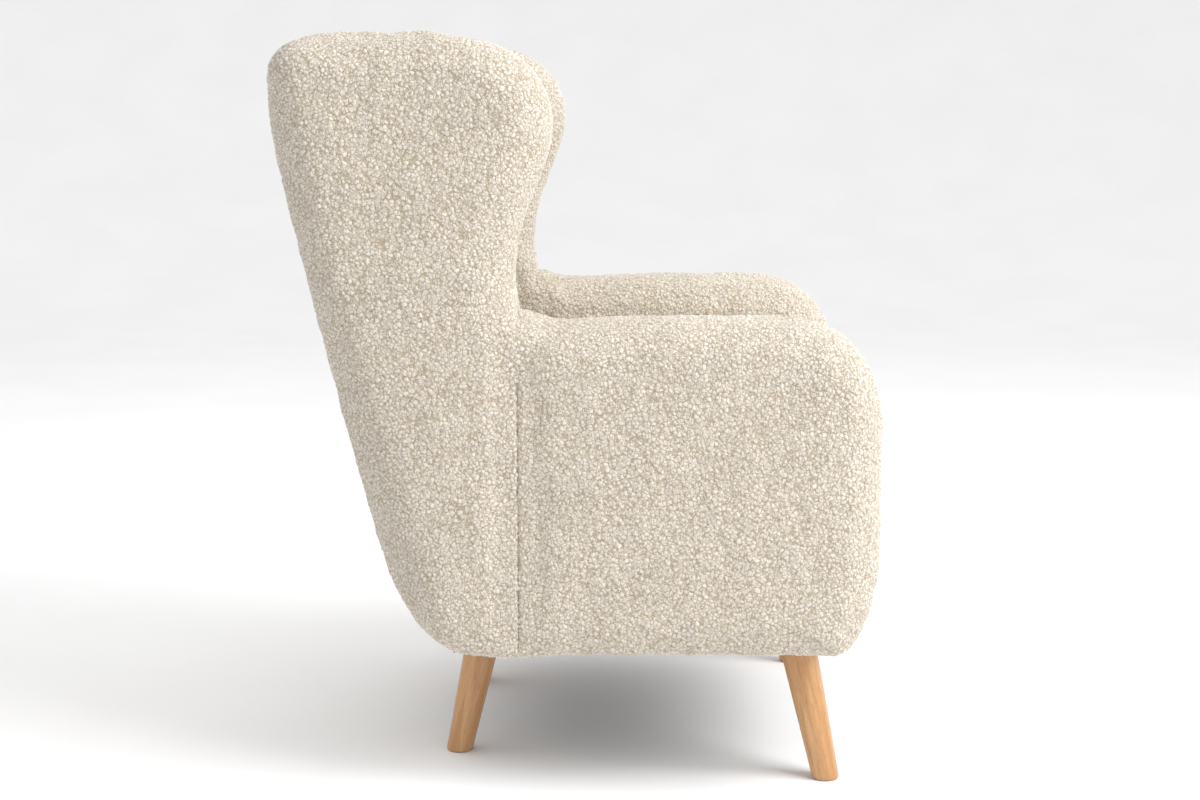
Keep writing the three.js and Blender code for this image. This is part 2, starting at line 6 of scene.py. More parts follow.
import bpy
import numpy as np
from bpy.props import FloatProperty, FloatVectorProperty, IntProperty, PointerProperty
from mathutils import Euler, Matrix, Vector


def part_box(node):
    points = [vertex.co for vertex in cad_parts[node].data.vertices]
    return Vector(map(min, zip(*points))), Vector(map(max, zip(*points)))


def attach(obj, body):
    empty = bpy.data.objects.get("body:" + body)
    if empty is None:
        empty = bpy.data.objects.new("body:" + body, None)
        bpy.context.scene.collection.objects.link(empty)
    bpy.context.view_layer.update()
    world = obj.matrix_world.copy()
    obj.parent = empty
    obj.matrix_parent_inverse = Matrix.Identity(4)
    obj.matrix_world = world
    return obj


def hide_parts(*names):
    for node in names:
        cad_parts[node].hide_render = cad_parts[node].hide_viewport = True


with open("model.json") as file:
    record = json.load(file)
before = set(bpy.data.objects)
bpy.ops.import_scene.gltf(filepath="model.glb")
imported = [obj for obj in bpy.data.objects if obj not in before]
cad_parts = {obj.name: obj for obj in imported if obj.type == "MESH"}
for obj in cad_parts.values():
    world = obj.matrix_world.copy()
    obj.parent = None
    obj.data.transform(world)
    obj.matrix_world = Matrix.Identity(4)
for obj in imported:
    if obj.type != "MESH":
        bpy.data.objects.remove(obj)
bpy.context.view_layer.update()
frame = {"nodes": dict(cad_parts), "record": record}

bl_info = {
    "name": "Wing Armchair",
    "version": (1, 0, 0),
    "blender": (4, 5, 0),
    "location": "View3D > Sidebar > Armchair",
    "description": "Makes the upholstery, legs and stage of a wing armchair round its frame",
    "category": "Object",
}

CHAIR = "chair"
CUSHION = "cushion"
SIDES = (("left", 1.0), ("right", -1.0))

RAYS = 720              # rays that trace a side view
PARALLEL = 1e-12        # cross product below which a ray and an edge do not meet
OVERRUN = 1e-6          # how far past an edge's ends a ray still meets it, as a share of the edge
FACING_REAR = 0.15      # rear part of a normal from which the outline counts as the back
LEVEL = 1e-4            # height within which points belong to a leg's end

ROLL_RINGS = 8          # rings over a slab's rolled edge
FACE_RINGS = 16         # rings from the middle of a slab's face to its edge
INNER_RING = 0.04       # share of the way out at which the first of them lies

PULL = 0.6              # how far a point is drawn to its neighbours' mean
PUSH = -0.56            # how far it is pushed back after that
SETTLING = 2            # passes of smoothing after the cloth simulation

LUMPS = 0.004           # height of the slow lumpiness in the stuffing
MEAN_LOOP = 0.6         # height of the loops that leaves the surface in place
PRESSED_DEPTH = 0.004   # depth of a seam at which the loops are pressed the most
MOST_PRESSED = 0.8      # share of the loops' height lost there


def colour(name, text, default):
    """A colour property of three linear values."""
    return FloatVectorProperty(
        name=name, description=text, subtype="COLOR", size=3, min=0.0, max=1.0, default=default
    )


def length(name, text, default):
    """A size property in metres."""
    return FloatProperty(name=name, description=text, unit="LENGTH", precision=4, default=default)


def number(name, text, default):
    """A plain number property."""
    return FloatProperty(name=name, description=text, default=default)


class ChairForm(bpy.types.PropertyGroup):
    """How the stuffed pieces are rounded and crowned."""

    arm_roll: length("Arm roll", "Radius of the arms' top and front edges", 0.040)
    wing_roll: length("Wing roll", "Radius of the wings' front edges", 0.042)
    top_roll: length("Top roll", "Radius of the wings' top edges", 0.036)
    corner_low: length("Rear corner, low", "Radius of the rear corners at the hip", 0.085)
    corner_high: length("Rear corner, high", "Radius of the rear corners at the top", 0.042)
    base_roll: length("Base roll", "Radius of the lower edges", 0.020)
    seam_roll: length("Seam roll", "Radius where two pads are sewn together", 0.003)
    seam_lap: length("Seam lap", "How far arm and wing are pressed into each other", 0.003)
    tuck: length("Tuck", "How far the arms' tops run into the wings", 0.030)
    fillet: length("Fillet", "How far the arms' tops rise into the wings", 0.020)
    lumbar: length("Lumbar swell", "How far the inside back swells forward", 0.014)
    cushion_crown: length("Cushion crown", "How far the seat cushion's top swells", 0.016)


class ChairFabric(bpy.types.PropertyGroup):
    """The looped fabric and how it is stuffed."""

    nub: length("Nub", "Distance between the fabric's loops", 0.0049)
    height: length("Nub height", "Height of the loops over the ground", 0.0021)
    voxel: length("Voxel", "Spacing of the stuffed mesh before its subdivision", 0.0056)
    pressure: number("Pressure", "Pressure of the stuffing in the cloth simulation", 4.0)
    frames: IntProperty(name="Frames", description="Length of the cloth simulation", default=20)
    loop_colour: colour("Loops", "Colour of the loops", (0.735, 0.68, 0.60))
    # Ground: the yarn's tan between the loops, darkened further by painted crevice shade.
    crevice_tone_and_shade: colour("Ground", "Colour between the loops", (0.425, 0.345, 0.245))


class ChairWood(bpy.types.PropertyGroup):
    """The legs' wood."""

    light: colour("Light wood", "Colour of the early wood", (0.62, 0.36, 0.165))
    dark: colour("Dark wood", "Colour of the grain", (0.44, 0.22, 0.085))
    foot_round: length("Foot rounding", "Radius of the feet's lower edge", 0.0045)


class ChairStage(bpy.types.PropertyGroup):
    """The camera, the lights and the floor."""

    eye: FloatVectorProperty(
        name="Eye", description="Place of the camera", unit="LENGTH", size=3,
        default=(-3.0722, -0.0542, 0.9342),
    )
    yaw: FloatProperty(
        name="Yaw", description="How far the camera is turned to the rear", unit="ROTATION",
        default=0.00946,
    )
    pitch: FloatProperty(
        name="Pitch", description="How far the camera looks down", unit="ROTATION", default=0.1483
    )
    lens: number("Lens", "Focal length in millimetres on a 36 mm sensor", 63.46)
    sky: number("Sky", "Strength of the light from all round", 0.86)
    key: number("Key", "Power of the soft light in front of the chair, in watts", 122.0)
    top: number("Top", "Power of the soft light above and behind the chair, in watts", 25.0)


# Places from the frame


def corners(node):
    """The lowest and highest corners of a CAD node as arrays."""
    low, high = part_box(node)
    return np.array(low), np.array(high)


def vertex_array(mesh, key="co"):
    """The places or the normals of a mesh's vertices as an array."""
    values = np.empty(len(mesh.vertices) * 3)
    mesh.vertices.foreach_get(key, values)
    return values.reshape(-1, 3)


def mesh_edges(mesh):
    """A mesh's edges as an array of vertex pairs."""
    edges = np.empty(len(mesh.edges) * 2, int)
    mesh.edges.foreach_get("vertices", edges)
    return edges.reshape(-1, 2)


def node_arrays(node):
    """The corner places and the edges of a CAD node's mesh as arrays."""
    mesh = frame["nodes"][node].data
    return vertex_array(mesh), mesh_edges(mesh)


def cross(a, b):
    """The cross product of plane vectors."""
    return a[..., 0] * b[..., 1] - a[..., 1] * b[..., 0]


def resampled(points, count):
    """A closed line's points at equal steps along it."""
    loop = np.vstack([points, points[:1]])
    run = np.concatenate([[0.0], np.cumsum(np.linalg.norm(np.diff(loop, axis=0), axis=1))])
    steps = np.linspace(0.0, run[-1], count, endpoint=False)
    return np.column_stack([np.interp(steps, run, loop[:, axis]) for axis in range(loop.shape[1])])


def softened(points, passes):
    """A closed line with each point drawn to the mean of its neighbours, some times over."""
    for _ in range(passes):
        points = 0.5 * points + 0.25 * (np.roll(points, 1, axis=0) + np.roll(points, -1, axis=0))
    return points


def side_outline(node, share, count=420):
    """The side view's outline of a CAD node, anticlockwise in (y, z).

    From a middle point, rays go out at equal angles, and each point of the outline is the furthest
    crossing of a ray with the node's edges.
    """
    low, high = corners(node)
    middle = (low + (high - low) * np.array([0.5, share[0], share[1]]))[1:]
    points, edges = node_arrays(node)
    flat = points[:, 1:] - middle
    angles = np.linspace(0.0, 2.0 * np.pi, RAYS, endpoint=False)
    rays = np.column_stack([np.cos(angles), np.sin(angles)])[:, None, :]
    start = flat[edges[:, 0]][None]
    run = flat[edges[:, 1]][None] - start
    across = cross(rays, run)
    across = np.where(np.abs(across) < PARALLEL, np.nan, across)
    reach = cross(start, run) / across
    place = cross(start, rays) / across
    hit = (place >= -OVERRUN) & (place <= 1.0 + OVERRUN) & (reach > 0.0)
    furthest = np.where(hit, reach, 0.0).max(axis=1)
    outline = middle + rays[:, 0] * furthest[:, None]
    return softened(resampled(outline, count), 5)


def outward(outline):
    """The unit normals of an anticlockwise closed line, pointing out."""
    along = np.roll(outline, -1, axis=0) - np.roll(outline, 1, axis=0)
    normal = np.column_stack([along[:, 1], -along[:, 0]])
    return normal / np.linalg.norm(normal, axis=1)[:, None]


def facing(outline):
    """How much each point of a side outline faces up, down, forward and back, as squared shares."""
    y, z = outward(outline).T
    return [np.clip(share, 0.0, 1.0) ** 2 for share in (z, -z, -y, y)]


def eased(low, high, value):
    """0 below low, 1 above high and a smooth rise between them."""
    share = np.clip((value - low) / (high - low), 0.0, 1.0)
    return share * share * (3.0 - 2.0 * share)


def rear_curve():
    """The height and depth of the outside back's line, from the wing pad's outline."""
    outline = side_outline("wing_pad_left", (0.55, 0.55))
    normal = outward(outline)
    back = outline[normal[:, 0] > FACING_REAR]
    back = back[np.argsort(back[:, 1])]
    return back[:, 1], back[:, 0]


# Surfaces


def ring_faces(rings, around):
    """Four-sided faces between rings of points, each ring closed on itself."""
    first = np.arange(rings - 1)[:, None] * around
    here = np.arange(around)[None, :]
    ahead = (here + 1) % around
    quads = np.stack([first + here, first + ahead, first + around + ahead, first + around + here], -1)
    return quads.reshape(-1, 4)


def capped_faces(rings, around):
    """Faces of such rings with both ends closed round the two points that follow them."""
    here = np.arange(around)
    ahead = (here + 1) % around
    last = (rings - 1) * around
    pole = np.full(around, rings * around)
    caps = [
        np.column_stack([pole, ahead, here]),
        np.column_stack([pole + 1, last + here, last + ahead]),
    ]
    return ring_faces(rings, around).tolist() + np.concatenate(caps).tolist()


def slab(outline, near, far, near_roll, far_roll, near_crown=0.0, far_crown=0.0):
    """A stuffed slab: an outline carried from one face to the other over two rolled edges.

    Each outline point moves in along its normal by roll (1 - sin a) while it moves in from the face
    by roll (1 - cos a), for a from 0 to a right angle. The faces close towards the middle and swell
    by crown (1 - s^2), s being the share of the way out. Returns points (depth, u, v) and faces.
    """
    normal = outward(outline)
    middle = outline.mean(axis=0)
    turn = np.linspace(0.0, 0.5 * np.pi, ROLL_RINGS)[:, None]
    share = np.linspace(INNER_RING, 1.0, FACE_RINGS)[:-1, None]
    inward = np.sign(far - near)

    def rolled(face, roll, direction):
        flat = outline[None] - normal[None] * (roll * (1.0 - np.sin(turn)))[..., None]
        depth = face + direction * roll * (1.0 - np.cos(turn))
        return flat, np.broadcast_to(depth, flat.shape[:2])

    def closing(flat, face, crown, direction):
        spread = middle + (flat[0] - middle)[None] * share[..., None]
        depth = face - direction * crown * (1.0 - share**2)
        return spread, np.broadcast_to(depth, spread.shape[:2])

    near_flat, near_depth = rolled(near, near_roll, inward)
    far_flat, far_depth = rolled(far, far_roll, -inward)
    near_face, near_face_depth = closing(near_flat, near, near_crown, inward)
    far_face, far_face_depth = closing(far_flat, far, far_crown, -inward)
    flat = np.concatenate([near_face, near_flat, far_flat[::-1], far_face[::-1]])
    depth = np.concatenate([near_face_depth, near_depth, far_depth[::-1], far_face_depth[::-1]])
    rings, around = depth.shape
    points = np.concatenate([depth[..., None], flat], axis=-1).reshape(-1, 3)
    ends = np.array([
        [near - inward * near_crown, *middle],
        [far + inward * far_crown, *middle],
    ])
    return np.vstack([points, ends]), capped_faces(rings, around)


def shell(front, back):
    """A closed panel from two grids of points of the same size, joined round their borders."""
    rows, columns = front.shape[:2]
    size = rows * columns
    corner = (np.arange(rows - 1)[:, None] * columns + np.arange(columns - 1)[None]).ravel()
    quads = np.column_stack([corner, corner + 1, corner + columns + 1, corner + columns])
    border = np.concatenate([
        np.arange(columns - 1),
        np.arange(rows - 1) * columns + columns - 1,
        size - 1 - np.arange(columns - 1),
        (rows - 1 - np.arange(rows - 1)) * columns,
    ])
    ahead = np.roll(border, -1)
    sides = np.column_stack([border, border + size, ahead + size, ahead])
    faces = np.concatenate([quads, quads[:, ::-1] + size, sides])
    points = np.concatenate([front.reshape(-1, 3), back.reshape(-1, 3)])
    return points, faces.tolist()


def new_object(name, points, faces):
    """A mesh object in the scene, at the origin, with smooth shading."""
    mesh = bpy.data.meshes.new(name)
    mesh.from_pydata(np.asarray(points, float).tolist(), [], faces)
    mesh.polygons.foreach_set("use_smooth", np.ones(len(mesh.polygons), bool))
    mesh.update()
    made = bpy.data.objects.new(name, mesh)
    bpy.context.scene.collection.objects.link(made)
    return made


def evaluated(made):
    """Points and faces of an object with its modifiers applied."""
    view = made.evaluated_get(bpy.context.evaluated_depsgraph_get())
    mesh = view.to_mesh()
    points = vertex_array(mesh)
    corner_list = np.empty(len(mesh.loops), int)
    mesh.loops.foreach_get("vertex_index", corner_list)
    starts = np.empty(len(mesh.polygons), int)
    mesh.polygons.foreach_get("loop_start", starts)
    faces = [face.tolist() for face in np.split(corner_list, starts[1:])]
    view.to_mesh_clear()
    return points, faces


def discard(made):
    """Remove a working object and its mesh."""
    mesh = made.data
    bpy.data.objects.remove(made)
    bpy.data.meshes.remove(mesh)


def relaxed(points, edges, passes):
    """Points drawn to their neighbours' mean and pushed back a little more, which smooths a mesh
    without shrinking it."""
    degree = np.bincount(edges.ravel(), minlength=len(points))[:, None]
    for step in range(2 * passes):
        total = np.column_stack([
            np.bincount(edges[:, 0], points[edges[:, 1], axis], len(points))
            + np.bincount(edges[:, 1], points[edges[:, 0], axis], len(points))
            for axis in range(3)
        ])
        weight = PULL if step % 2 == 0 else PUSH
        points = points + weight * (total / degree - points)
    return points


def stuffed(name, surface, cap, hold=None, passes=5):
    """A closed surface made into even cloth, blown up by the cloth simulation and subdivided.

    cap is how far a point may move, and hold gives each point's share of held cloth, from 0 to 1.
    """
    fabric = bpy.context.scene.chair_fabric
    body = new_object(name, *surface)
    remesh = body.modifiers.new("remesh", "REMESH")
    remesh.mode = "VOXEL"
    remesh.voxel_size = fabric.voxel
    points, faces = evaluated(body)
    discard(body)
    body = new_object(name, points, faces)
    points = relaxed(points, mesh_edges(body.data), passes)
    body.data.vertices.foreach_set("co", points.ravel())
    held = np.zeros(len(points)) if hold is None else hold(points)
    swollen = blown_up(body, fabric.pressure, fabric.frames)
    move = (swollen - points) * (1.0 - held)[:, None]
    reach = np.linalg.norm(move, axis=1)[:, None]
    points = points + move * np.minimum(1.0, cap / np.maximum(reach, 1e-9))
    points = relaxed(points, mesh_edges(body.data), SETTLING)
    body.data.vertices.foreach_set("co", points.ravel())
    finer = body.modifiers.new("finer", "SUBSURF")
    finer.levels = finer.render_levels = 1
    result = evaluated(body)
    discard(body)
    return result


def blown_up(body, pressure, frames):
    """The places of a closed cloth's points after it has been blown up for some frames."""
    cloth = body.modifiers.new("cloth", "CLOTH")
    settings = cloth.settings
    settings.quality = 3
    settings.mass = 0.3
    settings.tension_stiffness = 12.0
    settings.compression_stiffness = 12.0
    settings.shear_stiffness = 5.0
    settings.bending_stiffness = 0.6
    settings.use_pressure = True
    settings.uniform_pressure_force = pressure
    settings.effector_weights.gravity = 0.0
    cloth.collision_settings.use_collision = False
    cloth.point_cache.frame_start = 1
    cloth.point_cache.frame_end = frames
    scene = bpy.context.scene
    for step in range(1, frames + 1):
        scene.frame_set(step)
    points, _ = evaluated(body)
    body.modifiers.remove(cloth)
    scene.frame_set(1)
    return points


def tree_adder(tree):
    """A short way to add nodes to a tree, with their settings, values and links."""

    def add(kind, links=(), **values):
        node = tree.nodes.new(kind if kind.startswith("Geometry") else "ShaderNode" + kind)
        for key, value in values.items():
            if hasattr(node, key):
                setattr(node, key, value)
            else:
                node.inputs[key.replace("_", " ")].default_value = value
        for socket, source in links:
            if isinstance(source, bpy.types.NodeSocket):
                tree.links.new(source, node.inputs[socket])
            else:
                node.inputs[socket].default_value = source
        return node

    return add


def loop_field(add, place):
    """How high the fabric stands at a place, from 0 in a crevice to 1 on a loop.

    The place wanders by a noise, so that no two loops are alike. It then falls in a cell of a cell
    pattern: 0.6 of the height rises from the cell's border and 0.4 towards its middle.
    """
    size = bpy.context.scene.chair_fabric.nub
    wander = add("TexNoise", [("Vector", place)], Scale=0.9 / size, Detail=3.0)
    offset = add("VectorMath", [(0, wander.outputs["Color"]), (1, (0.5, 0.5, 0.5))], operation="SUBTRACT")
    moved = add(
        "VectorMath", [(0, offset.outputs[0]), (1, (1.9 * size,) * 3), (2, place)], operation="MULTIPLY_ADD"
    )
    cells = {"Scale": 1.0 / size, "Randomness": 1.0}
    border = add("TexVoronoi", [("Vector", moved.outputs[0])], feature="DISTANCE_TO_EDGE", **cells)
    middle = add("TexVoronoi", [("Vector", moved.outputs[0])], feature="F1", **cells)
    rise = add(
        "MapRange", [("Value", border.outputs["Distance"])], interpolation_type="SMOOTHSTEP", From_Max=0.26,
        To_Max=0.6,
    )
    dome = add(
        "MapRange", [("Value", middle.outputs["Distance"])], interpolation_type="SMOOTHSTEP", From_Min=0.9,
        From_Max=0.1, To_Max=0.4,
    )
    return add("Math", [(0, rise.outputs[0]), (1, dome.outputs[0])], operation="ADD").outputs[0]


def loops_group():
    """Geometry nodes that raise each point along its normal by the loops and a slower lumpiness."""
    group = bpy.data.node_groups.get("loops")
    if group:
        return group
    fabric = bpy.context.scene.chair_fabric
    group = bpy.data.node_groups.new("loops", "GeometryNodeTree")
    for direction in ("INPUT", "OUTPUT"):
        group.interface.new_socket("Geometry", in_out=direction, socket_type="NodeSocketGeometry")
    start, end = group.nodes.new("NodeGroupInput"), group.nodes.new("NodeGroupOutput")
    add = tree_adder(group)
    place = add("GeometryNodeInputPosition").outputs[0]
    pressed = add("GeometryNodeInputNamedAttribute", data_type="FLOAT")
    pressed.inputs["Name"].default_value = "pressed"
    lumps = add("TexNoise", [("Vector", place)], Scale=34.0, Detail=1.0)
    field = add("Math", [(0, loop_field(add, place)), (1, MEAN_LOOP)], operation="SUBTRACT")
    loops = add("Math", [(0, field.outputs[0]), (1, fabric.height)], operation="MULTIPLY")
    swell = add("Math", [(0, lumps.outputs["Fac"]), (1, -0.5)], operation="ADD")
    both = add(
        "Math", [(0, swell.outputs[0]), (1, LUMPS), (2, loops.outputs[0])], operation="MULTIPLY_ADD"
    )
    free = add("Math", [(0, 1.0), (1, pressed.outputs[0])], operation="SUBTRACT")
    lift = add("Math", [(0, both.outputs[0]), (1, free.outputs[0])], operation="MULTIPLY")
    normal = add("GeometryNodeInputNormal").outputs[0]
    shift = add("VectorMath", [(0, normal)], operation="SCALE")
    group.links.new(lift.outputs[0], shift.inputs["Scale"])
    moved = add("GeometryNodeSetPosition", [
        ("Geometry", start.outputs[0]), ("Offset", shift.outputs[0])
    ])
    group.links.new(moved.outputs[0], end.inputs[0])
    return group


def covered(name, surface, material, body_name, replaced, groove=None, side=1.0):
    """A stuffed surface with the fabric's loops raised on it, as a finished piece.

    Each point keeps its place before the loops as the attribute rest, which the material reads.
    """
    points, faces = surface
    if side < 0.0:
        points = points * np.array([-1.0, 1.0, 1.0])
        faces = [face[::-1] for face in faces]
    piece = new_object(name, points, faces)
    mesh = piece.data
    pressed = np.zeros(len(points))
    if groove is not None:
        normals = vertex_array(mesh, "normal")
        sewn = groove(points, normals)
        points = points - normals * sewn[:, None]
        pressed = np.minimum(sewn / PRESSED_DEPTH, MOST_PRESSED)
        mesh.vertices.foreach_set("co", points.ravel())
    mesh.attributes.new("rest", "FLOAT_VECTOR", "POINT").data.foreach_set("vector", points.ravel())
    mesh.attributes.new("pressed", "FLOAT", "POINT").data.foreach_set("value", pressed)
    mesh.update()
    loops = piece.modifiers.new("loops", "NODES")
    loops.node_group = loops_group()
    graph = bpy.context.evaluated_depsgraph_get()
    view = piece.evaluated_get(graph)
    piece.data = bpy.data.meshes.new_from_object(view, preserve_all_data_layers=True, depsgraph=graph)
    piece.modifiers.clear()
    bpy.data.meshes.remove(mesh)
    piece.data.name = name
    piece.data.materials.clear()
    piece.data.materials.append(material)
    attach(piece, body_name)
    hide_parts(*replaced)
    return piece


# Materials


def new_material(name):
    """A material with its tree, its shader and a short way to add nodes."""
    made = bpy.data.materials.new(name)
    made.use_nodes = True
    tree = made.node_tree
    return made, tree, tree.nodes["Principled BSDF"], tree_adder(tree)


def mixed(add, factor, first, second, kind="MIX"):
    """A colour mix of two sockets or colours."""
    node = add("Mix", data_type="RGBA", blend_type=kind)
    tree = node.id_data
    for index, value in ((0, factor), (6, first), (7, second)):
        if isinstance(value, bpy.types.NodeSocket):
            tree.links.new(value, node.inputs[index])
        elif index == 0:
            node.inputs[0].default_value = value
        else:
            node.inputs[index].default_value = (*value, 1.0)
    return node.outputs[2]


def ramp(add, source, stops):
    """A ramp of (place, value) stops from a socket."""
    node = add("ValToRGB", [("Fac", source)])
    node.color_ramp.interpolation = "EASE"
    elements = node.color_ramp.elements
    while len(elements) < len(stops):
        elements.new(0.5)
    for element, (place, value) in zip(elements, stops):
        element.position = place
        element.color = (value, value, value, 1.0)
    return node.outputs["Color"]


def boucle_material():
    """Cream looped fabric: tan crevices, light loops, curled yarn as fine bump, and a soft sheen."""
    fabric = bpy.context.scene.chair_fabric
    made, tree, shader, add = new_material("looped_fabric")
    rest = add("Attribute", attribute_name="rest").outputs["Vector"]
    height = loop_field(add, rest)
    curl = add("TexNoise", [("Vector", rest)], Scale=560.0, Detail=2.0, Roughness=0.6)
    cloud = add("TexNoise", [("Vector", rest)], Scale=16.0, Detail=3.0)
    uneven = add("Math", [(0, curl.outputs["Fac"]), (1, -0.5)], operation="ADD")
    shade = add("Math", [(0, uneven.outputs[0]), (1, 0.9), (2, height)], operation="MULTIPLY_ADD")
    loops = ramp(add, shade.outputs[0], [(0.02, 0.0), (0.36, 0.62), (0.85, 1.0)])
    # Crevices get the ground colour, which is the yarn's tan plus painted crevice shade; the loops get the
    # loop colour.
    base = mixed(add, loops, fabric.crevice_tone_and_shade, fabric.loop_colour)
    tint = ramp(add, cloud.outputs["Fac"], [(0.3, 0.93), (0.7, 1.0)])
    tree.links.new(mixed(add, 1.0, base, tint, "MULTIPLY"), shader.inputs["Base Color"])
    coarse = add("Bump", [("Height", height)], Strength=0.7, Distance=0.0018)
    fine = add(
        "Bump", [("Height", curl.outputs["Fac"]), ("Normal", coarse.outputs["Normal"])],
        Strength=0.5, Distance=0.0012,
    )
    tree.links.new(fine.outputs["Normal"], shader.inputs["Normal"])
    shader.inputs["Roughness"].default_value = 0.95
    shader.inputs["Specular IOR Level"].default_value = 0.15
    shader.inputs["Sheen Weight"].default_value = 0.25
    shader.inputs["Sheen Roughness"].default_value = 0.5
    shader.inputs["Sheen Tint"].default_value = (0.95, 0.97, 1.0, 1.0)
    return made


def leg_material(name, lean):
    """Lacquered light hardwood: long streaks along a leaning axis, fine pores and a satin coat."""
    wood = bpy.context.scene.chair_wood
    made, tree, shader, add = new_material(name)
    place = add("TexCoord").outputs["Object"]
    turned = add("Mapping", [("Vector", place)], vector_type="TEXTURE")
    turned.inputs["Rotation"].default_value = lean
    long = add("Mapping", [("Vector", turned.outputs[0])])
    long.inputs["Scale"].default_value = (1.0, 1.0, 0.09)
    grain = add("TexNoise", [("Vector", long.outputs[0])], Scale=95.0, Detail=5.0, Distortion=0.6)
    figure = add("TexNoise", [("Vector", long.outputs[0])], Scale=22.0, Detail=2.0, Distortion=1.2)
    pores = add("TexNoise", [("Vector", long.outputs[0])], Scale=900.0, Detail=2.0)
    streak = ramp(add, grain.outputs["Fac"], [(0.36, 0.0), (0.66, 1.0)])
    broad = ramp(add, figure.outputs["Fac"], [(0.35, 0.0), (0.7, 1.0)])
    fine = ramp(add, pores.outputs["Fac"], [(0.32, 0.80), (0.45, 1.0)])
    both = mixed(add, 0.45, streak, broad)
    base = mixed(add, both, wood.dark, wood.light)
    tree.links.new(mixed(add, 1.0, base, fine, "MULTIPLY"), shader.inputs["Base Color"])
    bump = add("Bump", [("Height", fine)], Strength=0.12, Distance=0.0004)
    tree.links.new(bump.outputs["Normal"], shader.inputs["Normal"])
    shader.inputs["Roughness"].default_value = 0.42
    shader.inputs["Coat Weight"].default_value = 0.15
    shader.inputs["Coat Roughness"].default_value = 0.3
    return made


def sawn_material(name, light, dark, along):
    """Sawn timber: bands of growth stretched along one axis, with saw marks in the bump."""
    made, tree, shader, add = new_material(name)
    place = add("TexCoord").outputs["Object"]
    long = add("Mapping", [("Vector", place)])
    long.inputs["Scale"].default_value = along
    grain = add("TexNoise", [("Vector", long.outputs[0])], Scale=70.0, Detail=5.0, Distortion=0.8)
    saw = add("TexNoise", [("Vector", place)], Scale=260.0, Detail=2.0)
    tree.links.new(
        mixed(add, ramp(add, grain.outputs["Fac"], [(0.35, 0.0), (0.65, 1.0)]), dark, light),
        shader.inputs["Base Color"],
    )
    bump = add("Bump", [("Height", saw.outputs["Fac"])], Strength=0.3, Distance=0.0006)
    tree.links.new(bump.outputs["Normal"], shader.inputs["Normal"])
    shader.inputs["Roughness"].default_value = 0.75
    return made


def woven_material(name, dark, light, pitch, metal=0.0, rough=0.9):
    """A plain weave or a brushed metal: two crossing waves of the given pitch and a mottle."""
    made, tree, shader, add = new_material(name)
    place = add("TexCoord").outputs["Object"]
    warp = add("TexWave", [("Vector", place)], bands_direction="X", Scale=0.16 / pitch, Distortion=0.4)
    weft = add("TexWave", [("Vector", place)], bands_direction="Y", Scale=0.16 / pitch, Distortion=0.4)
    mottle = add("TexNoise", [("Vector", place)], Scale=60.0, Detail=3.0)
    weave = add("Math", [(0, warp.outputs["Fac"]), (1, weft.outputs["Fac"])], operation="MAXIMUM")
    shade = mixed(add, 0.5, weave.outputs[0], mottle.outputs["Fac"])
    tree.links.new(mixed(add, shade, dark, light), shader.inputs["Base Color"])
    bump = add("Bump", [("Height", weave.outputs[0])], Strength=0.4, Distance=0.0004)
    tree.links.new(bump.outputs["Normal"], shader.inputs["Normal"])
    shader.inputs["Roughness"].default_value = rough
    shader.inputs["Metallic"].default_value = metal
    return made


def material(name, make, *values):
    """The material of that name, made once."""
    return bpy.data.materials.get(name) or make(*values)


def boucle():
    """The chair's fabric."""
    return material("looped_fabric", boucle_material)


# Pieces


def seam_plane():
    """Where the arm pads end and the wing pads start, from the arm rail's rear end."""
    return corners("arm_rail_left")[1][1]


class CHAIR_OT_arms(bpy.types.Operator):
    """Make both arm pads: a slab with rolled edges whose top rises a little where it meets the wing"""

    bl_idname = "chair.arms"
    bl_label = "Arm pads"

    def execute(self, context):
        form = context.scene.chair_form
        seam = seam_plane()
        low, high = corners("arm_pad_left")
        outline = side_outline("arm_pad_left", (0.4, 0.5))
        fillet_reach = 0.030
        rise_from, rise_to = 0.5, 0.65
        tuck_from, tuck_to = high[2] - 0.10, high[2] - 0.04
        at_seam = 0.004
        near_wing = np.exp(-np.abs(outline[:, 0] - seam) / fillet_reach)
        outline[:, 1] += form.fillet * near_wing * eased(rise_from, rise_to, outline[:, 1])
        lap = form.seam_lap + form.tuck * eased(tuck_from, tuck_to, outline[:, 1])
        outline[:, 0] += lap * (outline[:, 0] > seam - at_seam)
        top, base, front, rear = facing(outline)
        roll = form.arm_roll * (top + front) + form.base_roll * base + form.seam_roll * rear
        outer_crown, inner_crown, puff = 0.003, 0.001, 0.005
        free_until, held_from = seam - 0.090, seam - 0.006
        surface = stuffed(
            "arm", slab(outline, high[0], low[0], roll, roll, outer_crown, inner_crown), puff,
            hold=lambda points: eased(free_until, held_from, points[:, 1]),
        )
        for name, side in SIDES:
            covered(f"arm_{name}", surface, boucle(), CHAIR, [f"arm_pad_{name}"], side=side)
        return {"FINISHED"}


